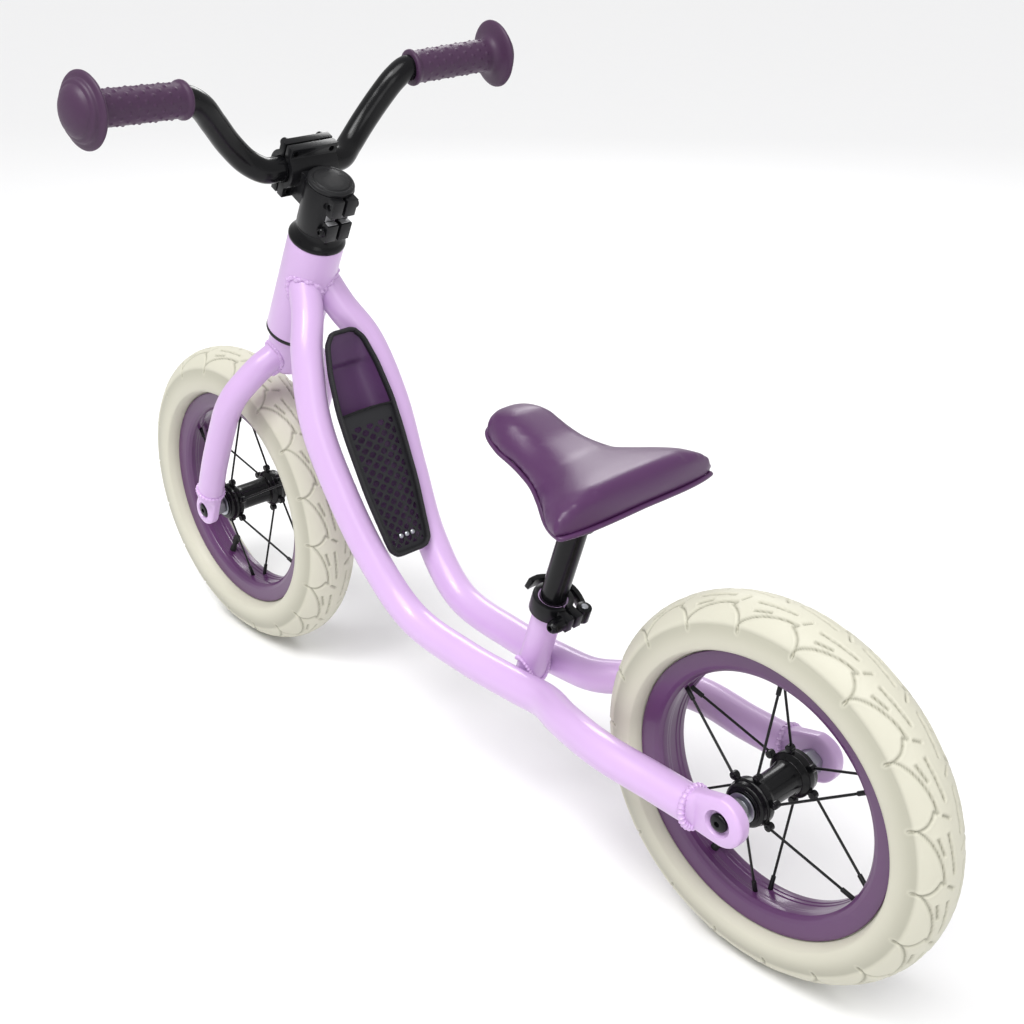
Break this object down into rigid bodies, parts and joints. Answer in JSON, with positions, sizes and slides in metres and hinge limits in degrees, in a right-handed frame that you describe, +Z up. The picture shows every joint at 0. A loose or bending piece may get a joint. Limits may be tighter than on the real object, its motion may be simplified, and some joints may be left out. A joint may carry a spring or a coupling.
{
  "type": "balance bike",
  "caption": "Child's steel balance bike with twin S-bend frame tubes, quick-release saddle, tilting handlebar, wire-spoked pneumatic wheels and a mesh pouch behind the head tube",
  "frame": {"origin": "on the ground, in the middle of the overall length and width", "axes": "+X forward, the way the bike rolls; +Y to the rider's left; +Z up"},
  "size_m": [0.9738, 0.4402, 0.6155],
  "materials": {
    "lilac_paint": "glossy lilac powder coat",
    "bright_steel": "zinc-plated steel",
    "black_metal": "gloss black coating",
    "black_plastic": "moulded black plastic",
    "black_rubber": "black rubber",
    "cream_tyre": "cream rubber with leaf-shaped grooves",
    "violet_rim": "satin violet coating",
    "mauve_grip": "soft mauve rubber with raised dots",
    "violet_leather": "smooth violet artificial leather",
    "violet_shell": "moulded violet shell",
    "black_webbing": "woven black binding tape",
    "black_mesh": "open black mesh"
  },
  "bodies": {
    "frame": {"head_tube": "lilac_paint", "left_frame_tube": "lilac_paint", "right_frame_tube": "lilac_paint", "seat_tube": "lilac_paint", "left_rear_dropout": "lilac_paint", "right_rear_dropout": "lilac_paint", "rear_axle": "bright_steel", "rear_left_axle_nut": "bright_steel", "rear_left_axle_bolt": "black_metal", "rear_right_axle_nut": "bright_steel", "rear_right_axle_bolt": "black_metal", "lower_headset_bearing": "bright_steel", "upper_headset_bearing": "bright_steel", "seat_collar": "black_metal", "seat_skewer": "bright_steel", "seat_skewer_nut": "black_metal", "pouch_shell": "violet_shell", "pouch_binding": "black_webbing", "pouch_mesh": "black_mesh"},
    "fork": {"fork_steerer": "lilac_paint", "left_fork_leg": "lilac_paint", "right_fork_leg": "lilac_paint", "left_fork_dropout": "lilac_paint", "right_fork_dropout": "lilac_paint", "front_axle": "bright_steel", "front_left_axle_nut": "bright_steel", "front_left_axle_bolt": "black_metal", "front_right_axle_nut": "bright_steel", "front_right_axle_bolt": "black_metal", "lower_headset_seal": "black_rubber", "upper_headset_cap": "black_metal", "stem": "black_metal", "stem_face_plate": "black_metal", "stem_top_cap": "black_plastic", "upper_pinch_bolt": "black_metal", "lower_pinch_bolt": "black_metal", "upper_left_face_bolt": "black_metal", "upper_right_face_bolt": "black_metal", "lower_left_face_bolt": "black_metal", "lower_right_face_bolt": "black_metal"},
    "handlebars": {"handlebar": "black_metal", "left_grip": "mauve_grip", "right_grip": "mauve_grip"},
    "saddle": {"seat_post": "black_metal", "saddle_pan": "black_plastic", "saddle_cushion": "violet_leather"},
    "lever": {"quick_release_lever": "black_metal"},
    "rear_wheel": {"rear_tyre": "cream_tyre", "rear_inner_tube": "black_rubber", "rear_rim": "violet_rim", "rear_hub": "black_metal", "rear_valve": "black_rubber"},
    "front_wheel": {"front_tyre": "cream_tyre", "front_inner_tube": "black_rubber", "front_rim": "violet_rim", "front_hub": "black_metal", "front_valve": "black_rubber"}
  },
  "joints": [
    {"name": "rear_wheel_spin", "type": "hinge", "parent": "frame", "child": "rear_wheel", "pos_m": [-0.338, 0, 0.15], "axis": [0, 1, 0], "continuous": true},
    {"name": "steering", "type": "hinge", "parent": "frame", "child": "fork", "pos_m": [0.333, 0, 0.155], "axis": [-0.4446, 0, 0.8957], "continuous": true},
    {"name": "front_wheel_spin", "type": "hinge", "parent": "fork", "child": "front_wheel", "pos_m": [0.333, 0, 0.155], "axis": [0, 1, 0], "continuous": true},
    {"name": "handlebar_tilt", "type": "hinge", "parent": "fork", "child": "handlebars", "pos_m": [0.19674, 0, 0.51338], "axis": [0, -1, 0], "range_deg": [0, 130]},
    {"name": "saddle_height", "type": "slide", "parent": "frame", "child": "saddle", "axis": [-0.3123, 0, 0.95], "range_m": [-0.077, 0]},
    {"name": "quick_release", "type": "hinge", "parent": "frame", "child": "lever", "pos_m": [-0.13, -0.0153, 0.2016], "axis": [0.3123, 0, -0.95], "range_deg": [0, 150]}
  ]
}
